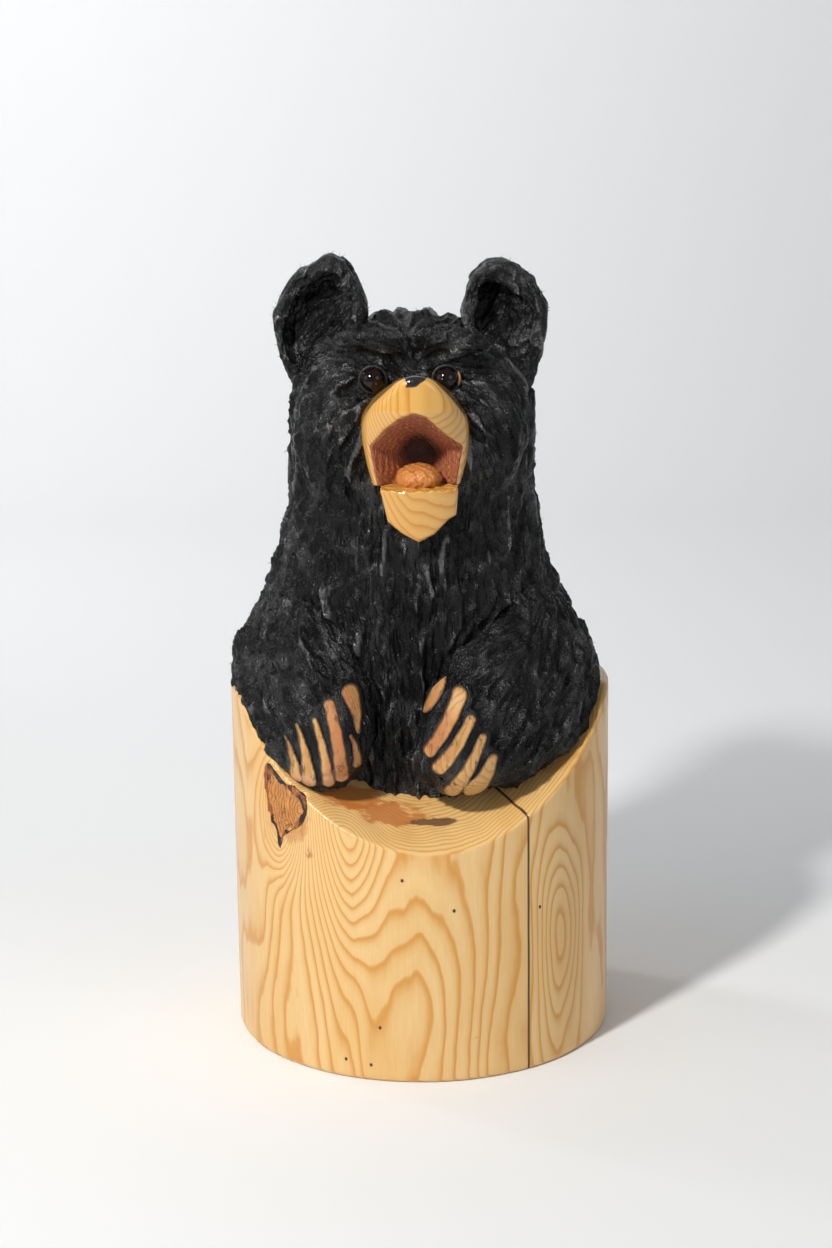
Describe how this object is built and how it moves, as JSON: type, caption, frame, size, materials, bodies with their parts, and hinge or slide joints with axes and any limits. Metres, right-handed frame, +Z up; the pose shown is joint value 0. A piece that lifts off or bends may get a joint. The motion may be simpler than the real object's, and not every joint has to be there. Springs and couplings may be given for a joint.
{
  "type": "carved wooden bear figurine",
  "caption": "Bear bust carved from one pine log, black-stained gouged fur, bare wood muzzle with open mouth, bare claws and glass eyes, standing on its own round log base.",
  "frame": {"origin": "centre of the log's sawn foot, on the surface it stands on", "axes": "+Z up along the log's axis, -Y the way the bear looks, +X to the bear's own left"},
  "size_m": [0.222, 0.222, 0.4505],
  "materials": {
    "log_pine": "sanded pine under satin varnish",
    "knot_wood": "resinous knot under satin varnish",
    "bark": "dark ingrown bark",
    "black_stain": "gouged and stained black, satin",
    "bare_claw_wood": "bare cut pine",
    "lacquered_pine": "smooth pine under gloss varnish",
    "stained_mouth": "red-brown stain over coarse cut wood",
    "tongue_wood": "rough carved wood under varnish",
    "nose_stain": "black stain under gloss varnish",
    "eye_glass": "polished dark brown glass eye, opaque",
    "eye_wire": "drawn steel wire",
    "eye_putty": "dark wood putty"
  },
  "bodies": {
    "root": {"log_base": "log_pine", "branch_knot": "knot_wood", "knot_bark": "bark", "torso": "black_stain", "head": "black_stain", "right_arm": "black_stain", "left_arm": "black_stain", "right_paw": "black_stain", "left_paw": "black_stain", "right_claws": "bare_claw_wood", "left_claws": "bare_claw_wood", "right_ear": "black_stain", "left_ear": "black_stain", "upper_muzzle": "lacquered_pine", "mouth_lining": "stained_mouth", "tongue": "tongue_wood", "lower_jaw": "lacquered_pine", "nose": "nose_stain", "right_eye": "eye_glass", "left_eye": "eye_glass", "right_eye_wire": "eye_wire", "left_eye_wire": "eye_wire", "right_eye_putty": "eye_putty", "left_eye_putty": "eye_putty"}
  },
  "joints": []
}
